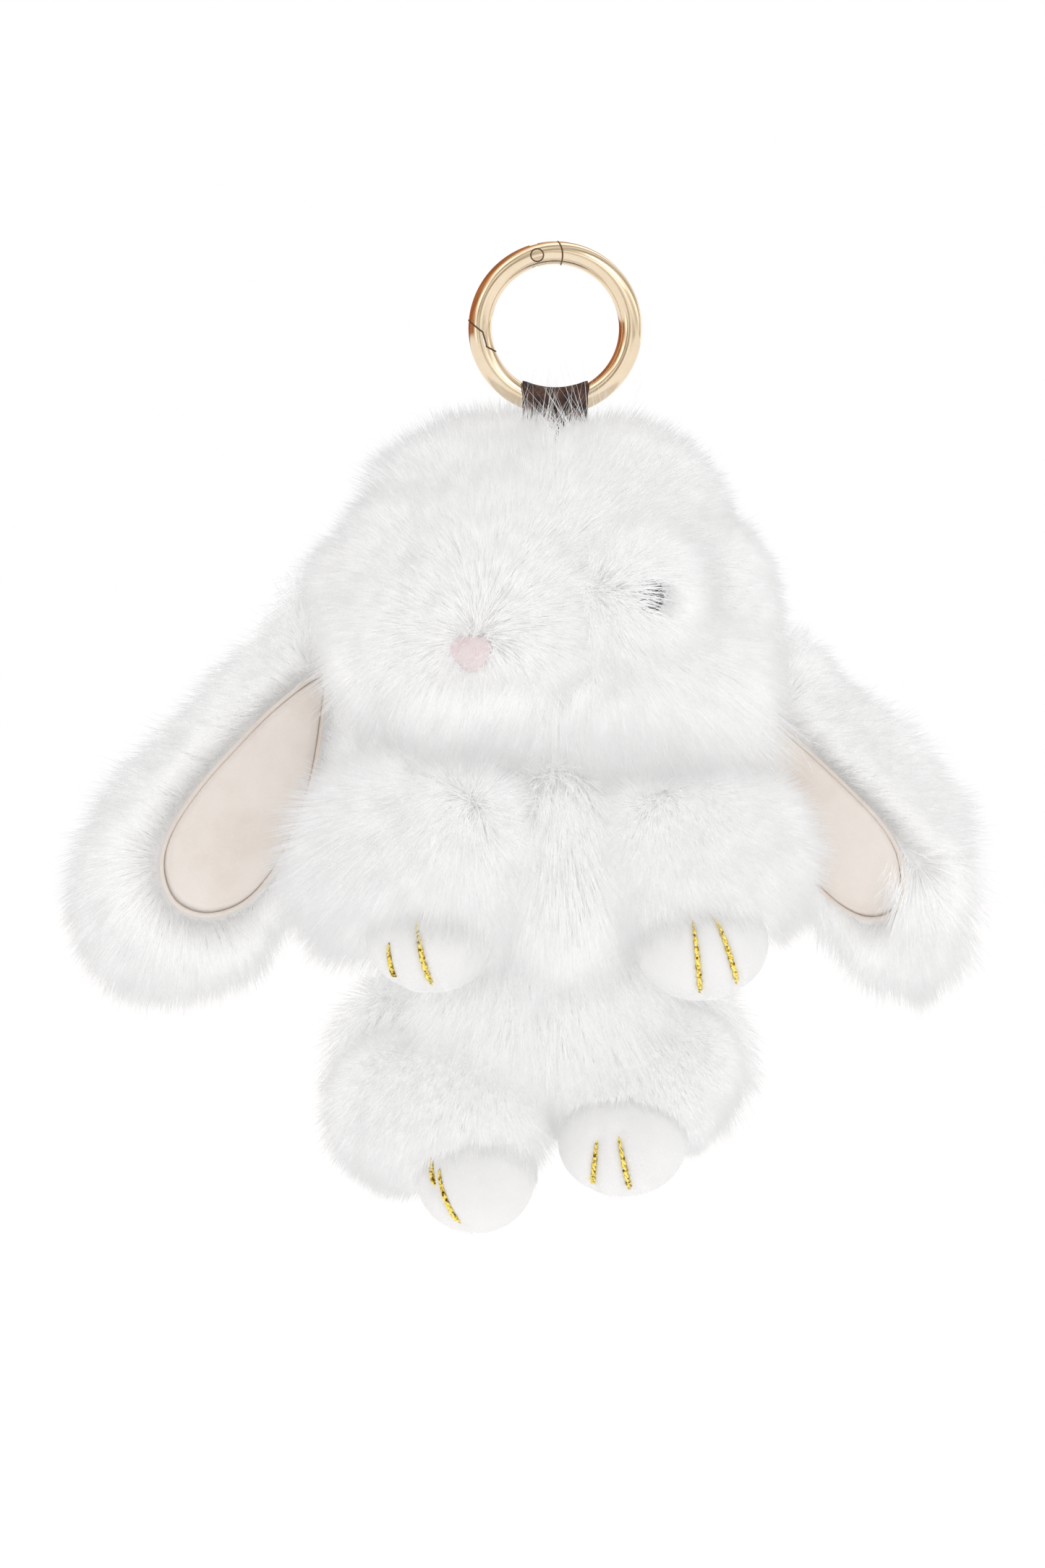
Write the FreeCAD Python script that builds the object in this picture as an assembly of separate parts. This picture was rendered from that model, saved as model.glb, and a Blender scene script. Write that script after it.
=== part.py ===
import FreeCAD, Part
import math
import os

V = FreeCAD.Vector

# A fluffy toy rabbit that hangs from a round spring-gate ring by a leather strap.
# Millimetres. Origin: centre of the ring's opening. +Z up, +X to the rabbit's left-hand
# side (the viewer's right), +Y away from the viewer, so the rabbit faces -Y.

# ---- driving dimensions -------------------------------------------------------------
RING_INSIDE = 25.0            # free opening of the ring
WIRE_D = 4.5                  # thickness of the ring's wire
RING_R = (RING_INSIDE + WIRE_D) / 2
WIRE_R = WIRE_D / 2
GATE_GAP = 0.2                # play between the gate and the ring body
HINGE_ANGLE = 104.0           # where the rivet sits on the ring, from +X
HINGE_R = RING_R - 0.15
SEAM_R = 4.95                 # the hinge seam is an arc about the rivet
LATCH_OUTER_R = 18.4          # the latch's two end faces are arcs about the rivet too
LATCH_INNER_R = 20.4
LATCH_STEP_R = 14.1           # the latch's step is an arc about the ring's centre
TONGUE_T = 1.5                # thickness of the tongue between the fork's cheeks
SLOT_R = 2.5                  # reach of the fork's slot behind the rivet
RIVET_R = 0.75
RIVET_HEAD_R = 1.25
RIVET_HEAD_T = 0.5
SPRING_WIRE_R = 0.4
SPRING_BORE_R = 1.0

STRAP_W = 13.0
STRAP_T = 1.3
STRAP_PLAY = 0.3              # between the wire and the leather
FLEX_Z = -22.0                # where the strap bends as it enters the head
LOOP_END_Z = FLEX_Z + 0.7
TAIL_TOP_Z = FLEX_Z - 0.6
TAIL_END_Z = -40.0

PILE = 7.0                    # fur fabric: backing and the pile pressed down
LIMB_PILE = 5.0
PLUSH_T = 1.6                 # short plush of the paws
FIT_GAP = 0.1                 # between pieces of one body

HEAD_C = V(1, 0, -50)
HEAD_S = V(42, 36, 31)
FACE_TURN = 27.0              # the face looks this far to the viewer's left
FACE_TILT = -22.0             # elevation of the nose, seen from the head's centre
EYE_SPREAD = 53.0             # azimuth of each eye, from the face's middle
EYE_TILT = -5.0
EYE_R = 4.5
EYE_BULGE = 3.2
SHANK_R = 1.3
SHANK_L = 11.0
WASHER_R = 5.5
WASHER_T = 1.2
MUZZLE_OUT = 26.0             # the muzzle's middle, from the head's centre
MUZZLE_S = V(15, 15, 13)
NOSE_OUT = 40.0
NOSE_W = 9.0
NOSE_H = 9.0
NOSE_T = 3.0

EAR_BACK_Y = 11.0
EAR_T = 11.0
EAR_EDGE = 3.5
LINING_T = 1.3
LINING_RECESS = 1.6

NECK = V(0, -2, -82.2)
CORD_R = 1.2
KNOT_R = 3.0
KNOT_DROP = 10.0
NOD_LIMIT = 15.0

TORSO_C = V(-2, 9, -114)
TORSO_S = V(32, 19, 30)

STITCH_W = 0.8
STITCH_H = 0.55

# each limb: the fur sleeve's centre and half sizes, the paw's, and where the toe stitches run
LIMBS = {
    "arm_left": (V(-24, -21, -104), V(16, 14, 18), V(-24, -25, -118.5), V(12.6, 12, 11), (-31.5, -25)),
    "arm_right": (V(26, -21, -104), V(16, 14, 18), V(28, -25, -119.5), V(13, 12, 11.5), (26.5, 32.5)),
    "leg_left": (V(-21, -9, -152), V(18, 15, 15), V(-15.5, -14, -165.5), V(11.5, 12, 11), (-24, -20.5)),
    "leg_right": (V(18, -9, -150), V(18, 15, 15), V(13, -14, -158.5), V(12.5, 12, 11), (7, 13)),
}

# each ear: outline of the fur back and of the lining, as X, Z pairs from the root round
EARS = {
    "ear_left": (
        [(-45, -42), (-62, -59), (-80, -79), (-92, -99), (-92.5, -119), (-82, -130),
         (-66, -128), (-54, -114), (-49, -92), (-45.5, -64)],
        [(-49, -68), (-60, -80), (-72, -96), (-76.5, -108), (-71, -116), (-62, -115),
         (-55, -106), (-52, -90)],
    ),
    "ear_right": (
        [(46, -57), (59, -67), (73, -82), (81, -100), (80.5, -120), (72, -129),
         (60, -127), (47, -115), (39, -97), (40.5, -80)],
        [(46.5, -76), (52, -81), (61, -91.5), (67.5, -100), (69.5, -107), (66.5, -115.5),
         (59, -116), (52, -110), (46.5, -98), (45.5, -86)],
    ),
}


# ---- helpers ------------------------------------------------------------------------
def ellipsoid(centre, half, grow=0.0):
    """A solid ellipsoid with half sizes half, each larger by grow."""
    scale = FreeCAD.Matrix()
    scale.scale(half + V(grow, grow, grow))
    solid = Part.makeSphere(1.0).transformGeometry(scale)
    solid.translate(centre)
    return solid


def box(low, high):
    return Part.makeBox(high.x - low.x, high.y - low.y, high.z - low.z, low)


def cylinder_y(x, z, radius, half_length=20.0):
    """A cylinder along Y, centred on Y = 0."""
    return Part.makeCylinder(radius, 2 * half_length, V(x, -half_length, z), V(0, 1, 0))


def on_ring(radius, degrees):
    """The point of the ring's plane at this radius and angle from +X."""
    turn = math.radians(degrees)
    return V(radius * math.cos(turn), 0, radius * math.sin(turn))


def ring_arc(centre_r, wire_r, start, stop):
    """A stretch of a torus about the ring's axis, from angle start to angle stop."""
    along = on_ring(1, start + 90)
    circle = Part.makeCircle(wire_r, on_ring(centre_r, start), along)
    face = Part.Face(Part.Wire(circle))
    return face.revolve(V(0, 0, 0), V(0, -1, 0), stop - start)


def rod(start, direction, length, radius):
    return Part.makeCylinder(radius, length, start, direction)


def turned(solid, direction):
    """Turn a solid built about +Z so that its +Z points along direction."""
    solid = solid.copy()
    turn = FreeCAD.Rotation(V(0, 0, 1), direction)
    solid.rotate(V(0, 0, 0), turn.Axis, math.degrees(turn.Angle))
    return solid


def facing(azimuth, elevation):
    """Unit vector out of the head: azimuth from straight ahead, positive towards +X."""
    a = math.radians(azimuth)
    e = math.radians(elevation)
    return V(math.sin(a) * math.cos(e), -math.cos(a) * math.cos(e), math.sin(e))


def on_ellipsoid(centre, half, direction):
    """Where the ray from the centre along direction meets the ellipsoid."""
    d = direction
    reach = 1 / math.sqrt((d.x / half.x) ** 2 + (d.y / half.y) ** 2 + (d.z / half.z) ** 2)
    return centre + d * reach


def smooth_wire(outline, y, shrink=0.0):
    """A smooth closed curve through X, Z pairs, drawn in towards its middle by shrink."""
    middle_x = sum(x for x, z in outline) / len(outline)
    middle_z = sum(z for x, z in outline) / len(outline)
    points = []
    for x, z in outline:
        inward = V(middle_x - x, 0, middle_z - z).normalize() * shrink
        points.append(V(x, y, z) + inward)
    curve = Part.BSplineCurve()
    curve.interpolate(points, PeriodicFlag=True)
    return Part.Wire(curve.toShape())


def smooth_plate(outline, y_low, y_high):
    """A plate in the XZ plane with a smooth closed outline."""
    return Part.Face(smooth_wire(outline, y_low)).extrude(V(0, y_high - y_low, 0))


def soft_plate(outline, y_low, y_high, edge):
    """The same with its edges taken off, as a loft through four outlines."""
    levels = [(y_low, edge), (y_low + edge, 0.0), (y_high - edge, 0.0), (y_high, edge)]
    return Part.makeLoft([smooth_wire(outline, y, shrink) for y, shrink in levels], True, True)


# ---- ring ---------------------------------------------------------------------------
HINGE = on_ring(HINGE_R, HINGE_ANGLE)


def gate_zone(gap):
    """The space that belongs to the gate, larger by gap."""
    left = box(V(-30, -10, -30), V(HINGE.x, 10, 30))
    outer = left.common(cylinder_y(HINGE.x, HINGE.z, LATCH_OUTER_R + gap))
    inner = left.common(cylinder_y(HINGE.x, HINGE.z, LATCH_INNER_R + gap))
    inner = inner.common(cylinder_y(0, 0, LATCH_STEP_R + gap))
    stub = cylinder_y(HINGE.x, HINGE.z, SEAM_R + gap)
    return outer.fuse([inner, stub])


def slab(thickness):
    return box(V(-30, -thickness / 2, -30), V(30, thickness / 2, 30))


def make_ring_body(torus):
    body = torus.cut(gate_zone(GATE_GAP))
    root = cylinder_y(HINGE.x, HINGE.z, SEAM_R + 1.0)
    root = root.common(box(V(HINGE.x, -10, -30), V(30, 10, 30)))
    hub = cylinder_y(HINGE.x, HINGE.z, SLOT_R - 0.5)
    tongue = torus.common(slab(TONGUE_T)).common(root.fuse(hub))
    body = body.fuse(tongue).removeSplitter()
    return body.cut(cylinder_y(HINGE.x, HINGE.z, RIVET_R + 0.05))


def make_ring_gate(torus, rivet):
    gate = torus.common(gate_zone(0.0))
    slot = box(V(HINGE.x, -10, -30), V(30, 10, 30)).fuse(cylinder_y(HINGE.x, HINGE.z, SLOT_R))
    gate = gate.cut(slot.common(slab(TONGUE_T + 2 * GATE_GAP)))
    gate = gate.cut(ring_arc(RING_R, SPRING_BORE_R, HINGE_ANGLE + 6, HINGE_ANGLE + 50))
    return gate.cut(rivet).removeSplitter()


def make_gate_rivet():
    pin = cylinder_y(HINGE.x, HINGE.z, RIVET_R, WIRE_R - 0.05)
    heads = []
    for y in (-WIRE_R + 0.05, WIRE_R - 0.05 - RIVET_HEAD_T):
        start = V(HINGE.x, y, HINGE.z)
        heads.append(Part.makeCylinder(RIVET_HEAD_R, RIVET_HEAD_T, start, V(0, 1, 0)))
    return pin.fuse(heads).removeSplitter()


def make_gate_spring():
    return ring_arc(RING_R + 0.45, SPRING_WIRE_R, HINGE_ANGLE + 10.5, HINGE_ANGLE + 48)


# ---- strap --------------------------------------------------------------------------
def make_strap_loop():
    """Leather round the wire; its plies meet below and end where the strap bends."""
    inner_r = WIRE_R + STRAP_PLAY
    outer_r = inner_r + STRAP_T
    loop = ring_arc(RING_R, outer_r, -120, -60)
    drop = 1.4
    shoulder_z = -RING_R - drop
    half = math.sqrt(outer_r ** 2 - drop ** 2) - 0.1
    corners = [V(-8, -half, shoulder_z), V(-8, half, shoulder_z), V(-8, STRAP_T, LOOP_END_Z),
               V(-8, -STRAP_T, LOOP_END_Z), V(-8, -half, shoulder_z)]
    plies = Part.Face(Part.makePolygon(corners)).extrude(V(16, 0, 0))
    strap = loop.fuse(plies).cut(ring_arc(RING_R, inner_r, -125, -55))
    return strap.common(box(V(-STRAP_W / 2, -10, -30), V(STRAP_W / 2, 10, 0))).removeSplitter()


def make_strap_tail(gap):
    half_w = STRAP_W / 2 - 0.5 + gap
    half_t = STRAP_T + gap
    return box(V(-half_w, -half_t, TAIL_END_Z - gap), V(half_w, half_t, TAIL_TOP_Z))


def make_strap_stitches(gap):
    """Two rows of thread through the tail, low in the crown seam."""
    rows = []
    for z in (-31.0, -35.0):
        for x in (-4.0, 0.0, 4.0):
            start = V(x, -STRAP_T - 1.5 - gap, z)
            rows.append(rod(start, V(0, 1, 0), 2 * (STRAP_T + 1.5 + gap), 0.4 + gap))
    return Part.makeCompound(rows)


# ---- head ---------------------------------------------------------------------------
def make_eye(azimuth, gap):
    """A domed bead on a shank that runs into the head."""
    out = facing(azimuth, EYE_TILT)
    seat = on_ellipsoid(HEAD_C, HEAD_S, out)
    bead = turned(ellipsoid(V(0, 0, 0), V(EYE_R, EYE_R, EYE_BULGE), gap), out)
    bead.translate(seat - out * 1.0)
    return bead.fuse(rod(seat, out * -1, SHANK_L + gap, SHANK_R + gap)).removeSplitter()


def make_eye_washer(azimuth, gap):
    out = facing(azimuth, EYE_TILT)
    seat = on_ellipsoid(HEAD_C, HEAD_S, out)
    return rod(seat - out * (PILE + 2.2 - gap), out * -1, WASHER_T + 2 * gap, WASHER_R + gap)


def make_nose(gap):
    """A three-cornered pad, point down, set into the muzzle."""
    out = facing(-FACE_TURN, FACE_TILT)
    half = NOSE_W / 2 + gap
    top = NOSE_H * 0.4 + gap
    point = -NOSE_H * 0.6 - gap
    depth = NOSE_T / 2 + gap
    corners = [V(-half, -depth, top), V(half, -depth, top), V(0, -depth, point),
               V(-half, -depth, top)]
    pad = Part.Face(Part.makePolygon(corners)).extrude(V(0, 2 * depth, 0))
    if gap == 0.0:
        pad = pad.makeFillet(1.0, pad.Edges)
    pad.rotate(V(0, 0, 0), V(1, 0, 0), -FACE_TILT)
    pad.rotate(V(0, 0, 0), V(0, 0, 1), -FACE_TURN)
    pad.translate(HEAD_C + out * NOSE_OUT)
    return pad


def strap_notch():
    """Room in the crown for the strap to bend forwards and backwards."""
    half_w = STRAP_W / 2 + 0.7
    height = 14.0
    spread = height * math.tan(math.radians(78))
    corners = [V(-half_w, 0, TAIL_TOP_Z), V(-half_w, spread, FLEX_Z + height),
               V(-half_w, -spread, FLEX_Z + height), V(-half_w, 0, TAIL_TOP_Z)]
    valley = Part.Face(Part.makePolygon(corners)).extrude(V(2 * half_w, 0, 0))
    return valley.fuse(rod(V(-half_w, 0, FLEX_Z), V(1, 0, 0), 2 * half_w, 3.6))


def make_head():
    """The fur skin, the filling and what is set into them."""
    left = -FACE_TURN - EYE_SPREAD
    right = -FACE_TURN + EYE_SPREAD
    muzzle_c = HEAD_C + facing(-FACE_TURN, FACE_TILT) * MUZZLE_OUT
    outer = ellipsoid(HEAD_C, HEAD_S).fuse(ellipsoid(muzzle_c, MUZZLE_S))
    inner = ellipsoid(HEAD_C, HEAD_S, -PILE)
    core = ellipsoid(HEAD_C, HEAD_S, -PILE - FIT_GAP)
    set_in = [make_eye(left, FIT_GAP), make_eye(right, FIT_GAP), make_eye_washer(left, FIT_GAP),
              make_eye_washer(right, FIT_GAP), make_strap_tail(FIT_GAP), strap_notch(),
              make_strap_stitches(FIT_GAP), neck_bore()]
    tail = make_strap_tail(0.0).cut(make_strap_stitches(FIT_GAP))
    return {
        "head_pelt": outer.cut(inner).cut(set_in + [make_nose(FIT_GAP)]),
        "head_stuffing": core.cut(set_in),
        "eye_left": make_eye(left, 0.0),
        "eye_right": make_eye(right, 0.0),
        "eye_washer_left": make_eye_washer(left, 0.0).cut(make_eye(left, 0.05)),
        "eye_washer_right": make_eye_washer(right, 0.0).cut(make_eye(right, 0.05)),
        "nose_patch": make_nose(0.0),
        "strap_tail": tail,
        "strap_stitches": make_strap_stitches(0.0),
    }


# ---- ears ---------------------------------------------------------------------------
def make_ear(outline, lining_outline):
    front_y = EAR_BACK_Y - EAR_T
    back = soft_plate(outline, front_y, EAR_BACK_Y, EAR_EDGE)
    recess = smooth_plate(lining_outline, front_y - 1, front_y + LINING_RECESS)
    lining = smooth_plate(lining_outline, front_y + 0.2, front_y + 0.2 + LINING_T)
    return back.cut(recess), lining


# ---- neck and torso -----------------------------------------------------------------
def make_neck_cord():
    """A short cord with a knot at each end."""
    start = NECK - V(0, 0, KNOT_DROP)
    knots = [Part.makeSphere(KNOT_R, NECK + V(0, 0, KNOT_DROP)), Part.makeSphere(KNOT_R, start)]
    return rod(start, V(0, 0, 1), 2 * KNOT_DROP, CORD_R).fuse(knots).removeSplitter()


def neck_bore():
    """The hole for the cord and its upper knot, in the head."""
    knot = Part.makeSphere(KNOT_R + 0.4, NECK + V(0, 0, KNOT_DROP))
    return rod(NECK, V(0, 0, 1), KNOT_DROP, CORD_R + 0.4).fuse(knot)


def nod_bore():
    """The flared hole in the torso that lets it nod on the cord."""
    reach = math.tan(math.radians(NOD_LIMIT + 3))
    top = CORD_R + 0.8
    flare = Part.makeCone(top + KNOT_DROP * reach, top, KNOT_DROP, NECK - V(0, 0, KNOT_DROP))
    swing = KNOT_R + 0.6 + KNOT_DROP * math.sin(math.radians(NOD_LIMIT))
    return flare.fuse(Part.makeSphere(swing, NECK - V(0, 0, KNOT_DROP)))


def make_torso():
    outer = ellipsoid(TORSO_C, TORSO_S)
    inner = ellipsoid(TORSO_C, TORSO_S, -PILE)
    core = ellipsoid(TORSO_C, TORSO_S, -PILE - FIT_GAP)
    return {
        "torso_pelt": outer.cut(inner).cut(nod_bore()),
        "torso_stuffing": core.cut(nod_bore()),
    }


# ---- limbs --------------------------------------------------------------------------
def make_toe_stitches(centre, half, lines):
    """Rows of thread on the front of a paw, from its brow down to its sole."""
    skin = ellipsoid(centre, half, STITCH_H).cut(ellipsoid(centre, half, 0.05))
    rows = []
    for x in lines:
        low = V(x - STITCH_W / 2, centre.y - half.y - 5, centre.z - half.z - 2)
        high = V(x + STITCH_W / 2, centre.y - half.y * 0.15, centre.z + half.z * 0.3)
        rows.append(skin.common(box(low, high)))
    return Part.makeCompound([solid for row in rows for solid in row.Solids])


def make_limb(name, sleeve_c, sleeve_s, paw_c, paw_s, lines):
    """A fur sleeve that ends in a smooth paw, on one filling."""
    sleeve = ellipsoid(sleeve_c, sleeve_s)
    sleeve_in = ellipsoid(sleeve_c, sleeve_s, -LIMB_PILE)
    paw = ellipsoid(paw_c, paw_s)
    paw_in = ellipsoid(paw_c, paw_s, -PLUSH_T)
    fill = ellipsoid(sleeve_c, sleeve_s, -LIMB_PILE - FIT_GAP)
    fill = fill.fuse(ellipsoid(paw_c, paw_s, -PLUSH_T - FIT_GAP))
    stitches = make_toe_stitches(paw_c, paw_s, lines)
    sleeve = sleeve.cut([sleeve_in, ellipsoid(paw_c, paw_s, STITCH_H + 0.1)])
    return {
        name + "_sleeve": sleeve,
        name + "_stuffing": fill.removeSplitter(),
        name + "_paw": paw.cut([paw_in, sleeve_in]),
        name + "_toe_stitches": stitches,
    }


# ---- assembly -----------------------------------------------------------------------
def make_nodes():
    torus = Part.makeTorus(RING_R, WIRE_R, V(0, 0, 0), V(0, 1, 0))
    rivet = make_gate_rivet()
    nodes = {
        "ring_body": make_ring_body(torus),
        "ring_gate": make_ring_gate(torus, rivet),
        "gate_rivet": rivet,
        "gate_spring": make_gate_spring(),
        "strap_loop": make_strap_loop(),
        "neck_cord": make_neck_cord(),
    }
    nodes.update(make_head())
    nodes.update(make_torso())
    for name, (outline, lining_outline) in EARS.items():
        nodes[name + "_pelt"], nodes[name + "_lining"] = make_ear(outline, lining_outline)
    for name, limb in LIMBS.items():
        nodes.update(make_limb(name, *limb))
    return nodes


def main():
    os.makedirs("parts", exist_ok=True)
    for name, shape in make_nodes().items():
        print(f"{name:26s} solids {len(shape.Solids)} valid {shape.isValid()} volume {shape.Volume:.1f}")
        shape.exportStep(f"parts/{name}.step")


main()
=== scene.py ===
import math

import bmesh
import bpy
import numpy as np
from mathutils import Matrix, Vector
from mathutils.kdtree import KDTree


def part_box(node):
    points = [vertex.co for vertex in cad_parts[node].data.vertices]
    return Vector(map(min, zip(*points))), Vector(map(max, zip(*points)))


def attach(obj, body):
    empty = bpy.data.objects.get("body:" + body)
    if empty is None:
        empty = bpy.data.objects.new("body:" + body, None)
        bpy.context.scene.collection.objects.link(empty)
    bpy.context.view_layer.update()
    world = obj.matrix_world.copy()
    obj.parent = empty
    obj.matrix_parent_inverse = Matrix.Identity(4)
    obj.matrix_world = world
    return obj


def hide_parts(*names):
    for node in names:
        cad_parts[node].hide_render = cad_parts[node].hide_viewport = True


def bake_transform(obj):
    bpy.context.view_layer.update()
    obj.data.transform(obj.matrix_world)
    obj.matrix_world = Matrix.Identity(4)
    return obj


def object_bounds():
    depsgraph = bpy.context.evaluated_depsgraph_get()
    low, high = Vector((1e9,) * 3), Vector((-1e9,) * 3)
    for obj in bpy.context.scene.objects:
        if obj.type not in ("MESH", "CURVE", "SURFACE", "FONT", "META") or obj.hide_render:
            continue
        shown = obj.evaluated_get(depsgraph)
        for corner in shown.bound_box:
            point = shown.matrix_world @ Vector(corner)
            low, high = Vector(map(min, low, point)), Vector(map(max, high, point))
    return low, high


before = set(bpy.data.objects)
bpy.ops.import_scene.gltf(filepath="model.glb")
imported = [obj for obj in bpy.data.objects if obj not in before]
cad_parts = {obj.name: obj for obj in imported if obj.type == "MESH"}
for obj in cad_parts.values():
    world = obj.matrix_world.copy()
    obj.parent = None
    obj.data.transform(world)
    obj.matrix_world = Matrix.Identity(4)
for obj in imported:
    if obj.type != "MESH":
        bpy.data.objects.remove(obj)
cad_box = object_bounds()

# A fluffy lop-eared rabbit on a spring-gate ring. Metres. The rabbit faces -Y.
# Places are worked out from the boxes of the CAD nodes; MM turns millimetres to metres.

MM = 0.001
UP = Vector((0, 0, 1))
ARMS = ("arm_left", "arm_right")
LEGS = ("leg_left", "leg_right")
LIMBS = ARMS + LEGS
EARS = ("ear_left", "ear_right")
SIDES = ("left", "right")

# ---- places ----


def mm(x, y, z):
    return Vector((x, y, z)) * MM


class Place:
    """A node's box: its middle, half sizes, and points in it from -1 to 1 along each axis."""

    def __init__(self, node):
        self.low, self.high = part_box(node)
        self.middle = (self.low + self.high) / 2
        self.half = (self.high - self.low) / 2

    def at(self, x, y, z):
        half = self.half
        return self.middle + Vector((x * half.x, y * half.y, z * half.z))


HEAD = Place("head_stuffing")
TORSO = Place("torso_stuffing")
NOSE = Place("nose_patch")
PAW = {name: Place(name + "_paw") for name in LIMBS}
SLEEVE = {name: Place(name + "_sleeve") for name in LIMBS}
LINING = {name: Place(name + "_lining") for name in EARS}
EAR = {name: Place(name + "_pelt") for name in EARS}
EYE = {side: Place("eye_" + side) for side in SIDES}
STRAP = Place("strap_loop")

# ---- materials ----


def new_material(name, **sockets):
    """A material with one Principled shader, whose sockets are set by name."""
    made = bpy.data.materials.new(name)
    made.use_nodes = True
    shader = made.node_tree.nodes["Principled BSDF"]
    for socket, value in sockets.items():
        shader.inputs[socket.replace("_", " ")].default_value = value
    return made, made.node_tree, shader


def node(tree, kind, **values):
    """A new node. Values set its properties, or its inputs, named with _ for a space, or link them."""
    made = tree.nodes.new("ShaderNode" + kind)
    for key, value in values.items():
        if hasattr(made, key):
            setattr(made, key, value)
        elif isinstance(value, bpy.types.NodeSocket):
            tree.links.new(value, made.inputs[key.replace("_", " ")])
        else:
            made.inputs[key.replace("_", " ")].default_value = value
    return made


def texture(tree, kind, **values):
    """The value of a texture laid out in the object's own coordinates."""
    place = node(tree, "TexCoord")
    return node(tree, "Tex" + kind, Vector=place.outputs["Object"], **values).outputs[0]


def grey(value):
    return value, value, value


def ramp(tree, source, stops):
    """A colour ramp fed by source; stops are (place, colour)."""
    made = node(tree, "ValToRGB", Fac=source)
    elements = made.color_ramp.elements
    while len(elements) < len(stops):
        elements.new(0.5)
    for element, (place, colour) in zip(elements, stops):
        element.position = place
        element.color = (*colour, 1)
    return made.outputs["Color"]


def mix_colours(tree, first, second, **values):
    """Two colours mixed; the whole of the second one unless a Factor is given."""
    values = {"Factor": 1.0, **values}
    mix = node(tree, "Mix", data_type="RGBA", A=first, B=second, **values)
    return mix.outputs["Result"]


def paint(tree, shader, colour):
    tree.links.new(colour, shader.inputs["Base Color"])


def bump(tree, shader, height, strength, depth):
    made = node(tree, "Bump", Strength=strength, Distance=depth, Height=height)
    tree.links.new(made.outputs["Normal"], shader.inputs["Normal"])


def glow(shader, strength):
    """A faint white light of its own, for the light scattered between fibres."""
    shader.inputs["Emission Color"].default_value = (1, 1, 1, 1)
    shader.inputs["Emission Strength"].default_value = strength


def fur_material():
    """White pile: each strand a little different, greyer at its root."""
    made, tree, shader = new_material("fur", Roughness=0.7, Specular_IOR_Level=0.15)
    uv = node(tree, "UVMap", uv_map=STRAND_UV)
    split = node(tree, "SeparateXYZ", Vector=uv.outputs["UV"])
    along = ramp(tree, split.outputs["Y"], [
        (0.0, (0.93, 0.925, 0.92)), (0.4, grey(0.95)), (1.0, grey(0.965))])
    column = node(tree, "Math", operation="MULTIPLY", Value=split.outputs["X"])
    column.inputs[1].default_value = STRAND_SHADES
    whole = node(tree, "Math", operation="FLOOR", Value=column.outputs["Value"])
    noise = node(tree, "TexWhiteNoise", noise_dimensions="1D", W=whole.outputs["Value"])
    tint = ramp(tree, noise.outputs["Value"], [
        (0.0, (0.96, 0.955, 0.95)), (0.7, grey(0.99)), (1.0, grey(1.0))])
    paint(tree, shader, mix_colours(tree, along, tint, blend_type="MULTIPLY"))
    return made


def cloth_material(name, colours, scale, grain, sheen, rough):
    """Short smooth cloth: colours drift slowly, fine fibres show in the bump."""
    made, tree, shader = new_material(name, Roughness=rough, Sheen_Weight=sheen,
                                      Sheen_Roughness=0.45, Specular_IOR_Level=0.2)
    drift = texture(tree, "Noise", Scale=scale, Detail=5.0, Roughness=0.6)
    paint(tree, shader, ramp(tree, drift, list(zip((0.3, 0.5, 0.72), colours))))
    fibre = texture(tree, "Noise", Scale=grain, Detail=4.0, Roughness=0.7)
    bump(tree, shader, fibre, 0.35, 0.0004)
    return made


def gold_ring_material():
    """Pale gold plating, hazed here and there, with a fine unevenness."""
    made, tree, shader = new_material("pale_gold", Metallic=1.0)
    haze = texture(tree, "Noise", Scale=160.0, Detail=6.0, Roughness=0.65)
    paint(tree, shader, ramp(tree, haze, [(0.3, (0.78, 0.64, 0.46)), (0.7, (0.86, 0.73, 0.55))]))
    rough = node(tree, "MapRange", Value=haze, From_Min=0.3, From_Max=0.75, To_Min=0.10, To_Max=0.20)
    tree.links.new(rough.outputs["Result"], shader.inputs["Roughness"])
    fine = texture(tree, "Noise", Scale=900.0, Detail=3.0)
    bump(tree, shader, fine, 0.02, 0.0001)
    return made


def gold_thread_material():
    """Metallic yarn: gold foil whose colour is painted with random flecks, near-black ones as painted
    shade and bright yellow ones as painted glints; the same flecks make its bump.
    """
    made, tree, shader = new_material("gold_thread", Metallic=1.0, Roughness=0.32)
    painted_glint_flecks = texture(tree, "Noise", Scale=1500.0, Detail=2.0, Roughness=0.6)
    # painted shade (near-black) and painted glints (bright yellow) in the foil's colour
    paint(tree, shader, ramp(tree, painted_glint_flecks, [
        (0.36, (0.10, 0.04, 0.005)), (0.44, (0.70, 0.47, 0.04)), (0.54, (1.0, 0.86, 0.24))]))
    bump(tree, shader, painted_glint_flecks, 0.5, 0.0003)
    return made


def leather_material():
    """Dark brown leather: pebbled grain, worn lighter on the high spots."""
    made, tree, shader = new_material("strap_leather", Roughness=0.55, Specular_IOR_Level=0.35)
    pebble = texture(tree, "Voronoi", Scale=1400.0)
    wear = texture(tree, "Noise", Scale=420.0, Detail=6.0, Roughness=0.7)
    paint(tree, shader, ramp(tree, wear, [
        (0.36, (0.012, 0.006, 0.005)), (0.50, (0.055, 0.024, 0.017)), (0.68, (0.17, 0.085, 0.062))]))
    bump(tree, shader, pebble, 0.5, 0.0004)
    return made


def plain_material(name, low, high, rough, scale=300.0):
    """A hard or hidden piece: colour drifts between low and high."""
    made, tree, shader = new_material(name, Roughness=rough)
    drift = texture(tree, "Noise", Scale=scale, Detail=5.0)
    paint(tree, shader, ramp(tree, drift, [(0.3, low), (0.7, high)]))
    bump(tree, shader, drift, 0.1, 0.0002)
    return made


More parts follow.
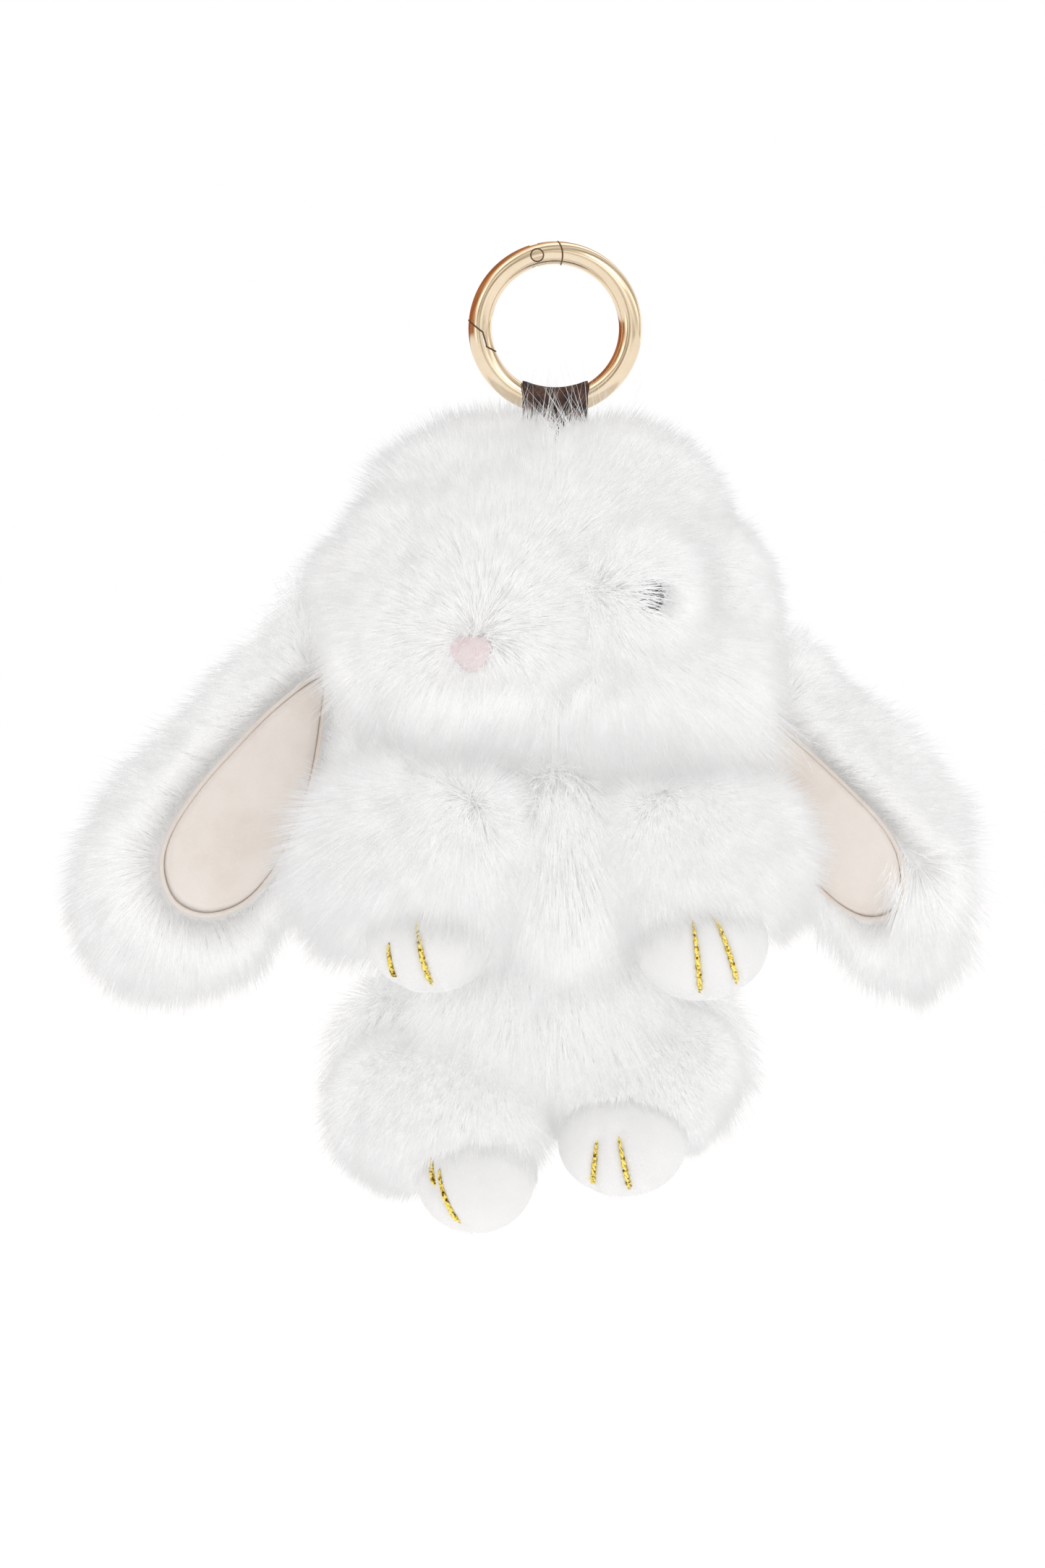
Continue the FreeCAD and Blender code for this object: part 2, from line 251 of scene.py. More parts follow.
STRAND_SHADES = 32  # columns of the strands' UV map, each a shade of its own
STRAND_UV = "OFBake"
MATERIAL = {
    "fur": fur_material(),
    "skin": cloth_material("fur_backing", [(0.86, 0.86, 0.85), grey(0.9), grey(0.93)],
                           120.0, 2500.0, 0.1, 0.9),
    "paw": cloth_material("paw_plush", [(0.86, 0.86, 0.855), (0.885, 0.885, 0.88), (0.90, 0.90, 0.895)],
                          90.0, 3500.0, 0.5, 0.8),
    "lining": cloth_material("ear_lining", [(0.84, 0.755, 0.69), (0.90, 0.83, 0.77), (0.93, 0.875, 0.82)],
                             60.0, 4200.0, 0.6, 0.55),
    "hem": cloth_material("lining_edge", [(0.80, 0.71, 0.64), (0.86, 0.785, 0.72), (0.90, 0.835, 0.775)],
                          60.0, 4200.0, 0.3, 0.6),
    "nose": cloth_material("nose_fabric", [(0.84, 0.68, 0.69), (0.88, 0.76, 0.765), (0.90, 0.82, 0.82)],
                           500.0, 3000.0, 0.5, 0.6),
    "gold": gold_ring_material(),
    "thread": gold_thread_material(),
    "leather": leather_material(),
    "eye": plain_material("eye_plastic", (0.008, 0.008, 0.011), (0.02, 0.02, 0.026), 0.08),
    "steel": plain_material("spring_steel", (0.45, 0.45, 0.47), (0.6, 0.6, 0.62), 0.3),
    "wadding": plain_material("stuffing", (0.82, 0.82, 0.80), (0.93, 0.93, 0.92), 0.9),
    "washer": plain_material("washer_plastic", grey(0.7), grey(0.8), 0.5),
    "cord": plain_material("white_cord", (0.75, 0.74, 0.71), (0.88, 0.87, 0.85), 0.8, 1800.0),
    # painted shadow: the dark colour of the thin tubes laid in the ring's joints
    "seam": plain_material("seam_shadow", (0.07, 0.03, 0.012), (0.16, 0.08, 0.03), 0.6, 900.0),
    "floor": plain_material("floor", grey(0.965), grey(0.975), 0.9, 4.0),
}

# Painted light: the fur and the paws glow faintly, which lifts the shade between their fibres; the floor
# glows so that it stays evenly white.
for glowing, strength in (("floor", 0.27), ("paw", 0.03), ("fur", 0.223)):
    glow(MATERIAL[glowing].node_tree.nodes["Principled BSDF"], strength)

# ---- mesh helpers ----


def link_new(name, data):
    made = bpy.data.objects.new(name, data)
    bpy.context.scene.collection.objects.link(made)
    return made


def add_object(name, mesh, material, body):
    made = link_new(name, mesh)
    mesh.materials.append(MATERIAL[material])
    if body:
        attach(made, body)
    return made


def mesh_from(bm, name):
    """Smooth-shaded mesh data from a bmesh, which is freed."""
    mesh = bpy.data.meshes.new(name)
    bm.to_mesh(mesh)
    bm.free()
    mesh.shade_smooth()
    return mesh


def add_strip(bm, low, high):
    """Faces between two lines of vertices."""
    for k in range(len(low) - 1):
        bm.faces.new([low[k], low[k + 1], high[k + 1], high[k]])


def close_tube(bm, rings):
    """Faces between rings of vertices, and over both ends."""
    for low, high in zip(rings, rings[1:]):
        add_strip(bm, low + low[:1], high + high[:1])
    bm.faces.new(rings[0][::-1])
    bm.faces.new(rings[-1])
    bmesh.ops.recalc_face_normals(bm, faces=bm.faces)


def add_ball(bm, middle, half, subdivisions):
    place = Matrix.Translation(middle) @ Matrix.Diagonal((*half, 1))
    bmesh.ops.create_icosphere(bm, subdivisions=subdivisions, radius=1, matrix=place)


def lump_mesh(lumps, voxel=1.6 * MM, smooth=10):
    """One closed skin round several lumps. A lump is (middle, half sizes)."""
    bm = bmesh.new()
    for lump in lumps:
        add_ball(bm, *lump, 4)
    obj = link_new("lumps", mesh_from(bm, "lumps"))
    remesh = obj.modifiers.new("join", "REMESH")
    remesh.mode = "VOXEL"
    remesh.voxel_size = voxel
    even = obj.modifiers.new("even", "SMOOTH")
    even.iterations = smooth
    graph = bpy.context.evaluated_depsgraph_get()
    mesh = bpy.data.meshes.new_from_object(obj.evaluated_get(graph))
    bpy.data.objects.remove(obj)
    mesh.shade_smooth()
    return mesh


def mesh_arrays(mesh):
    """Vertices, vertex normals and triangles as arrays."""
    count = len(mesh.vertices)
    places = np.empty((count, 3), np.float32)
    mesh.vertices.foreach_get("co", places.ravel())
    normals = np.empty((count, 3), np.float32)
    mesh.vertices.foreach_get("normal", normals.ravel())
    mesh.calc_loop_triangles()
    triangles = np.empty((len(mesh.loop_triangles), 3), np.int32)
    mesh.loop_triangles.foreach_get("vertices", triangles.ravel())
    return places.astype(float), normals.astype(float), triangles


def size_of(vectors):
    return np.linalg.norm(vectors, axis=-1, keepdims=True)


def unit(vectors):
    return vectors / np.maximum(size_of(vectors), 1e-12)


def scatter(mesh, count, random):
    """Points spread evenly over a mesh, with its normals there."""
    co, normals, tris = mesh_arrays(mesh)
    a, b, c = co[tris[:, 0]], co[tris[:, 1]], co[tris[:, 2]]
    area = np.linalg.norm(np.cross(b - a, c - a), axis=1)
    chosen = random.choice(len(tris), count, p=area / area.sum())
    u, v = random.random(count), random.random(count)
    over = u + v > 1
    u[over], v[over] = 1 - u[over], 1 - v[over]
    w = 1 - u - v
    points = a[chosen] * w[:, None] + b[chosen] * u[:, None] + c[chosen] * v[:, None]
    n = normals[tris[chosen]]
    normal = n[:, 0] * w[:, None] + n[:, 1] * u[:, None] + n[:, 2] * v[:, None]
    return points, unit(normal)


def waves(points, size, seed):
    """Smooth random vectors over space, about one unit long, that change over size metres."""
    random = np.random.default_rng(seed)
    total = np.zeros_like(points)
    for _ in range(6):
        k = random.normal(size=(3, 3)) * 2.2 / size
        total += np.sin(points @ k + random.random(3) * 2 * math.pi)
    return total / 2.4


# ---- fur ----

RING_STEPS = (0.0, 0.52, 1.0)
FULL_LEAN = 0.5  # a flow with less than this share along the skin leans the strands less
STRANDS_PER_PIECE = 19000
ROOT_DEPTH = 0.3  # millimetres; how far under the skin a strand starts


def strand_paths(points, normals, flow, length, lift, random, options):
    """Where each strand runs: an array of strand, step, xyz."""
    count = len(points)
    flow = unit(flow)
    across = flow - normals * np.sum(flow * normals, axis=1, keepdims=True)
    lean = across / np.maximum(size_of(across), FULL_LEAN)
    start = unit(normals * lift[:, None] + lean * (1 - lift[:, None]))
    leader_of = nearest_leader(points, max(8, count // options["per_tuft"]), random)
    tufts = leader_of.max() + 1
    tuft = random.normal(size=(tufts, 3)) * options["tuft_tilt"]
    tuft_length = 1 + random.normal(size=tufts) * options["tuft_uneven"]
    start = unit(start + tuft[leader_of] + random.normal(size=(count, 3)) * options["stray"]
                 + waves(points, options["wave"], options["seed"]) * options["wave_tilt"])
    length = length * np.clip(tuft_length[leader_of], 0.6, 1.4)
    length = length * (0.80 + 0.3 * random.random(count))
    end = points + start * length[:, None]
    sums = np.zeros((tufts, 3))
    np.add.at(sums, leader_of, end)
    tuft_end = sums / np.maximum(np.bincount(leader_of), 1)[:, None]
    pull = options["pull"] * random.random(count)
    sag = np.array((0, 0, -1.0)) * length[:, None] * options["sag"]
    steps = []
    for t in RING_STEPS:
        at = points + start * (length * t)[:, None]
        at = at + (tuft_end[leader_of] - end) * (pull * t ** 2)[:, None]
        steps.append(at + sag * t ** 2)
    return np.stack(steps, axis=1)


def nearest_leader(points, leaders, random):
    """The index of the tuft that each strand belongs to."""
    chosen = random.choice(len(points), min(leaders, len(points)), replace=False)
    tree = KDTree(len(chosen))
    for i, j in enumerate(chosen):
        tree.insert(points[j], i)
    tree.balance()
    return np.array([tree.find(p)[1] for p in points])


def clear_of(paths, lumps):
    """Push the strands' outer points out of lumps, each (middle, half sizes)."""
    for middle, half in lumps:
        m, h = np.array(middle), np.array(half)
        local = (paths - m) / h
        reach = size_of(local)
        paths = np.where(reach < 1, m + h * local / np.maximum(reach, 0.05), paths)
    return paths


def strand_mesh(name, paths, width, random):
    """Closed three-sided strands that taper to a point, with a shade column each in UV."""
    count, steps, _ = paths.shape
    rings = steps - 1
    along = np.empty_like(paths[:, :rings])
    along[:, 0] = paths[:, 1] - paths[:, 0]
    for k in range(1, rings):
        along[:, k] = paths[:, k + 1] - paths[:, k - 1]
    along = unit(along)
    aside = unit(random.normal(size=(count, 3)))
    u = np.cross(along, aside[:, None, :])
    u /= np.maximum(size_of(u), 1e-9)
    v = np.cross(along, u)
    taper = np.array([1.0, 0.8])[:rings]
    radius = (width * (0.75 + 0.5 * random.random(count)))[:, None] * taper[None, :] / 2
    corners = []
    for j in range(3):
        turn = 2 * math.pi * j / 3
        offset = u * math.cos(turn) + v * math.sin(turn)
        corners.append(paths[:, :rings] + offset * radius[:, :, None])
    body = np.stack(corners, axis=2).reshape(count, rings * 3, 3)
    co = np.concatenate([body, paths[:, -1:, :]], axis=1).reshape(-1, 3)
    per = rings * 3 + 1
    sides = [(j, (j + 1) % 3) for j in range(3)]
    faces = [(3 * k + i, 3 * k + j, 3 * k + 3 + j, 3 * k + 3 + i)
             for k in range(rings - 1) for i, j in sides]
    faces += [(per - 4 + i, per - 4 + j, per - 1) for i, j in sides] + [(2, 1, 0)]
    base = (np.arange(count) * per)[:, None]
    loops = (np.concatenate(faces) + base).ravel().astype(np.int32)
    totals = np.tile([len(face) for face in faces], count)
    starts = np.concatenate([[0], np.cumsum(totals)[:-1]]).astype(np.int32)
    mesh = bpy.data.meshes.new(name)
    mesh.vertices.add(len(co))
    mesh.vertices.foreach_set("co", co.astype(np.float32).ravel())
    mesh.loops.add(len(loops))
    mesh.loops.foreach_set("vertex_index", loops)
    mesh.polygons.add(len(totals))
    mesh.polygons.foreach_set("loop_start", starts)
    mesh.update(calc_edges=True)
    mesh.shade_smooth()
    side = np.array([0.2 + 0.3 * (i % 3) for i in range(per)])
    height = np.array([RING_STEPS[i // 3] for i in range(per)])
    side[-1], height[-1] = 0.5, 1.0
    shade = random.integers(0, STRAND_SHADES, count)
    uv = np.stack([(shade[:, None] + side[None, :]) / STRAND_SHADES,
                   np.broadcast_to(0.01 + 0.98 * height[None, :], (count, per))], axis=2)
    layer = mesh.uv_layers.new(name=STRAND_UV)
    layer.uv.foreach_set("vector", uv.reshape(-1, 2)[loops].astype(np.float32).ravel())
    return mesh


FUR = {"per_tuft": 34, "tuft_tilt": 0.065, "tuft_uneven": 0.06, "stray": 0.14, "wave": 22 * MM,
       "wave_tilt": 0.15, "pull": 0.28, "sag": 0.10, "seed": 1, "width": 0.17 * MM}


def grow_fur(name, body, mesh, count, flow, length, lift, keep=None, clear=(), **changes):
    """Fur on a skin. flow, length and lift are functions of points and normals."""
    options = {**FUR, **changes}
    random = np.random.default_rng(options["seed"])
    points, normals = scatter(mesh, count, random)
    if keep is not None:
        kept = keep(points, normals)
        points, normals = points[kept], normals[kept]
    paths = strand_paths(points - normals * ROOT_DEPTH * MM, normals, flow(points, normals),
                         length(points, normals), lift(points, normals), random, options)
    paths = clear_of(paths, clear)
    for part, first in enumerate(range(0, len(paths), STRANDS_PER_PIECE)):
        chosen = paths[first:first + STRANDS_PER_PIECE]
        piece_name = f"{name}_{part + 1}"
        strands = strand_mesh(piece_name, chosen, options["width"], random)
        add_object(piece_name, strands, "fur", body)


def always(value):
    return lambda points, normals: np.full(len(points), value)


def clamp(value):
    return np.clip(value, 0, 1)


def distance(points, place):
    return np.linalg.norm(points - np.array(place), axis=1)


def columns(points, x, y, z):
    """One vector per point, from numbers or from arrays."""
    made = np.empty_like(points)
    made[:, 0], made[:, 1], made[:, 2] = x, y, z
    return made


def lump_share(points, middle, half):
    """How far out in a lump each point is, 1 at the lump's surface."""
    return np.linalg.norm((points - np.array(middle)) / np.array(half), axis=1)


# ---- head ----

FACE = (NOSE.middle - HEAD.middle).normalized()
NOSE_SEAT = NOSE.middle - FACE * 2.4 * MM - mm(1.2, 0, 0)
CROWN = 0.45  # where the crown starts, as a share of the head's half height
BEAD_RADIUS = 4.4 * MM


def head_lumps():
    """The stuffed head: skull, the two rises beside the strap, cheeks, eye sockets and muzzle."""
    h = HEAD.half
    sockets = [(eye_centre(side) - eye_out(side) * 6.0 * MM, mm(9.5, 9.5, 9.5))
               for side in SIDES]
    return sockets + [
        (HEAD.at(-0.04, 0.0, -0.04), Vector((h.x * 0.92, h.y, h.z * 0.98))),
        (HEAD.at(-0.39, -0.05, 0.54), h * 0.53),
        (HEAD.at(0.28, -0.05, 0.56), h * 0.50),
        (HEAD.at(-0.74, -0.25, 0.02), mm(12, 13, 12)),
        (HEAD.at(-0.72, -0.40, -0.42), mm(13, 13, 11)),
        (HEAD.at(0.74, -0.20, -0.15), mm(11, 14, 13)),
        (HEAD.middle + FACE * 23.5 * MM, mm(14, 14, 12)),
        (HEAD.at(-0.42, -0.55, -0.66), mm(17, 13, 11)),
        (HEAD.at(0.42, -0.55, -0.66), mm(17, 13, 11)),
    ]


def paw_lump(name, grow):
    place = PAW[name]
    return place.middle, place.half + Vector((grow, grow, grow)) * MM


def sleeve_lump(name):
    """A limb's sleeve, a little larger, for fur that lies over it."""
    return SLEEVE[name].middle, SLEEVE[name].half * 1.02


def eye_lump(side, grow):
    """Room for an eye bead, whose node also has a shank that runs inwards."""
    return eye_centre(side), Vector((1, 1, 1)) * (4.5 + grow) * MM


def eye_centre(side):
    """The middle of the bead: 4 mm in from the eye's farthest point."""
    out = eye_out(side)
    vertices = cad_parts["eye_" + side].data.vertices
    tip = max((v.co for v in vertices), key=lambda co: co.dot(out))
    return tip - out * 4.0 * MM


def eye_out(side):
    return (EYE[side].middle - HEAD.middle).normalized()


def head_fur_rules():
    """Which way the head's fur lies, how long it is, how far it stands, and where it grows."""
    crown = HEAD.at(0, 0, CROWN).z
    chin = HEAD.at(0, 0, -0.45).z

    def beside_strap(points):
        """1 at the strap, 0 from 20 mm aside or 30 mm in front and behind."""
        aside = clamp(1 - np.abs(points[:, 0]) / (20 * MM))
        near = aside * clamp(1 - np.abs(points[:, 1]) / (30 * MM))
        return np.where(points[:, 2] > crown, near, 0)

    def under_chin(points):
        return clamp((chin - points[:, 2]) / (8 * MM))

    def flow(points, normals):
        spread = unit(points - np.array(NOSE_SEAT))
        spread[:, 2] -= 0.45
        outwards = columns(points, np.sign(points[:, 0]), 0, 0.9)
        hanging = under_chin(points)
        spread[:, 1] -= 0.6 * hanging
        spread[:, 2] -= 0.6 * hanging
        near = beside_strap(points)[:, None]
        return spread * (1 - near) + outwards * near

    def length(points, normals):
        value = np.full(len(points), 12.5)
        front = clamp(0.5 - normals[:, 1] * 2)
        value += 12.0 * under_chin(points) * front
        right = clamp((points[:, 0] - HEAD.at(0.3, 0, 0).x) / (20 * MM))
        value -= 3.0 * right * (points[:, 2] > HEAD.at(0, 0, -0.3).z)
        from_nose = distance(points, NOSE.middle) / MM
        return np.minimum(value, 5.0 + from_nose * 0.42) * MM

    def lift(points, normals):
        from_nose = clamp(distance(points, NOSE.middle) / (22 * MM))
        below = clamp(-normals[:, 2])
        return 0.38 + 0.22 * from_nose + 0.25 * beside_strap(points) + 0.15 * below

    def keep(points, normals):
        bare = (np.abs(points[:, 0]) < STRAP.half.x - 0.5 * MM) & (np.abs(points[:, 1]) < 1.6 * MM)
        bare &= points[:, 2] > HEAD.middle.z
        for side in SIDES:
            bare |= lump_share(points, *eye_lump(side, -0.8)) < 1
        return ~(bare | (distance(points, NOSE.middle) < 3.4 * MM))

    return flow, length, lift, keep


def eye_cover(side):
    """Which way the fur lies that covers an eye from all round, and where it grows."""
    middle = np.array(eye_centre(side))
    out = np.array(eye_out(side))

    def flow(points, normals):
        towards = middle + out * 3 * MM - points
        towards[:, 2] = -np.abs(towards[:, 2]) * 0.3 - 1.0 * MM
        return towards

    def keep(points, normals):
        gap = distance(points, middle)
        return (gap > 4.0 * MM) & (gap < 9.0 * MM)

    return flow, keep


def eye_partings(side):
    """Thin upright gaps in the fur in front of an eye, one above the other and leaning."""
    front = eye_centre(side) + eye_out(side) * 3.5 * MM
    inwards = Vector((-0.8 * MM if side == "right" else 0.8 * MM, 0, 0))
    lean = inwards * -0.8
    half = mm(1.1, 6.5, 2.6)
    upper = front + inwards + lean + UP * 2.4 * MM
    lower = front + inwards - lean - UP * 2.4 * MM
    return [(upper, half), (lower, half)]


def make_head():
    skin = lump_mesh(head_lumps(), smooth=36)
    head = add_object("head_skin", skin, "skin", "head")
    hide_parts("head_pelt")
    flow, length, lift, keep = head_fur_rules()
    clear = [eye_lump(side, 0.3) for side in SIDES] + [(NOSE_SEAT, mm(2.6, 2.6, 2.6))]
    clear += eye_partings("right") + eye_partings("left")
    clear += [sleeve_lump(name) for name in ARMS]
    grow_fur("head_fur", "head", skin, 90000, flow, length, lift, keep, clear, seed=11)
    for number, side in enumerate(SIDES):
        lies, near = eye_cover(side)
        over = [eye_lump(side, 0.5)] + eye_partings(side)
        grow_fur(f"lid_{side}_fur", "head", skin, 48000, lies, always(8.0 * MM), always(0.45), near,
                 over, seed=14 + number, width=0.15 * MM, stray=0.2, sag=0.0)
    make_throat_fur(skin)
    make_nose_veil(skin)
    make_strap_hairs(skin)
    clear = [eye_lump(side, 0.2) for side in SIDES]
    grow_fur("face_wisps", "head", skin, 9000, flow, always(11 * MM), lift, keep, clear,
             seed=12, width=0.10 * MM, stray=0.45, pull=0.1)


def make_throat_fur(skin):
    """Long fur under the cheeks and chin, which hangs in front of the arms' tops."""
    low = HEAD.at(0, 0, -0.60).z

    def flow(points, normals):
        return columns(points, (points[:, 0] - HEAD.middle.x) / (60 * MM), -0.5, -1.0)

    def keep(points, normals):
        return (points[:, 2] < low) & (normals[:, 1] < -0.2)

    over = [sleeve_lump(name) for name in ARMS]
    grow_fur("throat_fur", "head", skin, 80000, flow, always(20 * MM), always(0.36), keep, over,
             seed=18, width=0.15 * MM)


def make_nose_veil(skin):
    """Fine strands from all round the nose that lie in over its rim."""
    front = np.array(NOSE_SEAT + FACE * 5 * MM)

    def flow(points, normals):
        towards = unit(front - points)
        towards[:, 2] -= 0.35
        return towards

    def keep(points, normals):
        gap = distance(points, NOSE_SEAT)
        return (gap > 2.6 * MM) & (gap < 7.0 * MM)

    grow_fur("nose_veil", "head", skin, 50000, flow, always(6.0 * MM), always(0.55), keep,
             seed=16, width=0.11 * MM, stray=0.3, sag=0.0)


def make_strap_hairs(skin):
    """A few long hairs of the crown that stand up across the strap's front."""
    crown = HEAD.at(0, 0, CROWN).z

    def flow(points, normals):
        return columns(points, -points[:, 0] / (9 * MM), -0.15, 1.0)

    def keep(points, normals):
        near = (np.abs(points[:, 0]) < 11 * MM) & (points[:, 2] > crown)
        return near & (points[:, 1] < -2.5 * MM) & (points[:, 1] > -9 * MM)

    grow_fur("strap_hairs", "head", skin, 15000, flow, always(19 * MM), always(0.55), keep,
             seed=17, width=0.11 * MM, stray=0.35, pull=0.0, sag=0.0)


# ---- ears ----


def pillow_mesh(outline, y_front, y_back, rings=10, bulge=0.5):
    """A pad with this outline, thin at its edge and full in its middle."""
    middle = outline.mean(axis=0)
    thick = (y_back - y_front) / 2
    y_mid = (y_back + y_front) / 2
    bm = bmesh.new()
    for side in (-1, 1):
        loops = []
        for r in range(rings + 1):
            share = 1 - r / rings
            y = y_mid + side * thick * math.sqrt(1 - share ** 2) ** bulge
            loop = [bm.verts.new((x, y, z)) for x, z in middle + (outline - middle) * max(share, 0.001)]
            loops.append(loop + loop[:1])
        for low, high in zip(loops, loops[1:]):
            add_strip(bm, *((low, high) if side < 0 else (high, low)))
    bmesh.ops.remove_doubles(bm, verts=bm.verts, dist=0.02 * MM)
    bmesh.ops.recalc_face_normals(bm, faces=bm.faces)
    return mesh_from(bm, "pillow")


# outlines of each ear's pad and of its lining, X and Z in millimetres
EAR_PADS = {
    "ear_left": [(-46, -47), (-53, -60), (-62.5, -71.5), (-71.5, -83), (-82, -96.5), (-87.5, -108),
                 (-85.5, -117.5), (-77, -123), (-66, -120.5), (-57, -111), (-48, -95), (-43, -72)],
    "ear_right": [(44, -62.5), (52.5, -71), (61.5, -79.5), (69, -88.5), (73.5, -98), (75, -109),
                  (74.5, -117.5), (69, -122), (61, -118), (52, -108.5), (38, -95), (34, -81), (35, -70)],
}
EAR_LININGS = {
    "ear_left": [(-45.5, -68), (-54, -73.5), (-63, -82.5), (-70, -90.5), (-75.5, -99), (-77, -106),
                 (-74.5, -112.5), (-68, -115), (-60, -112), (-53, -103), (-48, -90), (-45.5, -76)],
    "ear_right": [(36, -71.5), (44.5, -78.5), (56, -89), (64.5, -98), (68, -106), (66.5, -114),
                  (60, -115.5), (52, -110), (45, -99), (39, -85)],
}


def curve_loop(points, steps=8):
    """A smooth closed curve through points, X and Z, in metres."""
    count = len(points)
    p = np.array(points) * MM
    made = []
    for i in range(count):
        a, b, c, d = (p[(i + k - 1) % count] for k in range(4))
        for t in np.arange(steps) / steps:
            made.append(0.5 * (2 * b + (c - a) * t + (2 * a - 5 * b + 4 * c - d) * t ** 2
                               + (3 * b - a - 3 * c + d) * t ** 3))
    return np.array(made)


def grown_loop(loop, gap):
    """A closed curve moved outwards by a gap."""
    ahead = np.roll(loop, -1, axis=0) - np.roll(loop, 1, axis=0)
    out = unit(np.stack([ahead[:, 1], -ahead[:, 0]], axis=1))
    turning = np.sum(loop[:, 0] * np.roll(loop[:, 1], -1) - np.roll(loop[:, 0], -1) * loop[:, 1])
    return loop + out * (gap if turning > 0 else -gap)


def make_ear(name):
    """A fur pad with a smooth lining let into its front."""
    ear, lining = EAR[name], LINING[name]
    skin = pillow_mesh(curve_loop(EAR_PADS[name]), ear.low.y + 1.6 * MM, ear.high.y - 2.0 * MM)
    pad = add_object(name + "_skin", skin, "skin", name)
    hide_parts(name + "_pelt")
    edge = curve_loop(EAR_LININGS[name])
    front = pillow_mesh(edge, lining.low.y - 3.4 * MM, lining.high.y + 0.5 * MM, bulge=0.35)
    cloth = add_object(name + "_lining_cloth", front, "lining", name)
    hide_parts(name + "_lining")
    make_hem(name, edge, lining.low.y - 1.6 * MM)
    centre = lining.middle
    root = ear.at(0.8 if name == "ear_left" else -0.8, 0, 0.9)
    bare = grown_loop(edge, 0.6 * MM)
    lining_top = np.array((root.x, centre.y, lining.high.z))
    lining_foot = np.array((centre.x * 2 - root.x, centre.y, lining.low.z + 12 * MM))
    axis = lining_foot - lining_top

    def flow(points, normals):
        from_root = unit(points - np.array(root))
        along = clamp((points - lining_top) @ axis / (axis @ axis))
        from_lining = points - (lining_top + along[:, None] * axis)
        from_lining[:, 1] *= 0.2
        front = clamp(-normals[:, 1:2])
        return unit(from_lining) * (0.45 + 0.6 * front) + from_root * (0.8 - 0.55 * front)

    def length(points, normals):
        from_root = clamp(distance(points, root) / (45 * MM))
        return (9.0 + 5.0 * from_root - 2.5 * clamp(-normals[:, 2])) * MM

    def keep(points, normals):
        facing_front = normals[:, 1] < -0.2
        return ~(facing_front & inside_loop(points[:, [0, 2]], bare))

    grow_fur(name + "_fur", name, skin, 38000, flow, length, always(0.42), keep,
             seed=21 + EARS.index(name), sag=0.16)


def make_hem(name, outline, y):
    """The turned edge round a lining."""
    bm = bmesh.new()
    closed = [Vector((x, y, z)) for x, z in list(outline) + [outline[0]]]
    tube(bm, closed, 0.45 * MM)
    add_object(name + "_hem", mesh_from(bm, name + "_hem"), "hem", name)


def inside_loop(points, loop):
    """Which X, Z points lie in a closed outline."""
    inside = np.zeros(len(points), bool)
    x, z = points[:, 0], points[:, 1]
    for (x1, z1), (x2, z2) in zip(loop, np.roll(loop, -1, axis=0)):
        crosses = (z1 > z) != (z2 > z)
        at = (x2 - x1) * (z - z1) / ((z2 - z1) or 1e-12) + x1
        inside ^= crosses & (x < at)
    return inside


# ---- torso and limbs ----

# millimetres
LONGEST_FUR = {"arm_left": 18.5, "arm_right": 13.5, "leg_left": 11.0, "leg_right": 7.5}


def make_torso():
    h = TORSO.half
    skin = lump_mesh([
        (TORSO.middle, Vector((h.x * 1.1, h.y * 1.1, h.z * 1.05))),
        (TORSO.at(0.12, -2.0, 0.50), mm(11, 14, 17)),
        (TORSO.at(-0.62, -0.25, 0.74), mm(14, 12, 9)),
        (TORSO.at(0.66, -0.25, 0.74), mm(14, 12, 9)),
        (TORSO.at(0.0, -0.95, -0.72), mm(23, 14, 14)),
        (TORSO.at(-0.97, 0.1, -1.06), mm(13, 12, 9)),
        (TORSO.at(0.96, 0.1, -1.02), mm(11, 12, 9)),
    ])
    torso = add_object("torso_skin", skin, "skin", "torso")
    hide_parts("torso_pelt")

    def length(points, normals):
        return (13.0 + 7.0 * clamp(-normals[:, 1])) * MM

    def lift(points, normals):
        return 0.5 - 0.32 * clamp(normals[:, 2] * 1.4)

    grow_fur("torso_fur", "torso", skin, 44000, combed_over(0.5), length, lift,
             clear=[sleeve_lump(name) for name in LEGS], seed=31)


def combed_over(aside):
    """Fur that lies forwards over the top, hangs down the front, and spreads at the sides."""
    def flow(points, normals):
        over = clamp(normals[:, 2])
        from_middle = points[:, 0] - TORSO.middle.x
        return columns(points, aside * from_middle / (30 * MM), -0.2 - 1.2 * over, over - 1.0)
    return flow


def limb_fur_rules(name, outward):
    """Long at the outer side, short where it meets the paw, hanging outwards and down."""
    middle, half = np.array(PAW[name].middle), np.array(PAW[name].half)

    def length(points, normals):
        gap = (lump_share(points, middle, half) - 1) * 12
        value = LONGEST_FUR[name] - 3.0 * (1 - np.abs(normals[:, 0]))
        front = clamp(-normals[:, 1])
        above = clamp((points[:, 2] - middle[2]) / half[2])
        near_paw = 4.0 + 4.5 * above + 0.9 * np.clip(gap, 0, 20) + 14 * (1 - front)
        return np.minimum(value, near_paw) * MM

    def lift(points, normals):
        side = clamp(normals[:, 0] * outward)
        top = clamp(normals[:, 2]) * clamp(-normals[:, 1])
        return 0.46 + 0.22 * side - 0.16 * top

    def keep(points, normals):
        return lump_share(points, *paw_lump(name, 0.5)) >= 1

    return combed_over(0.6), length, lift, keep


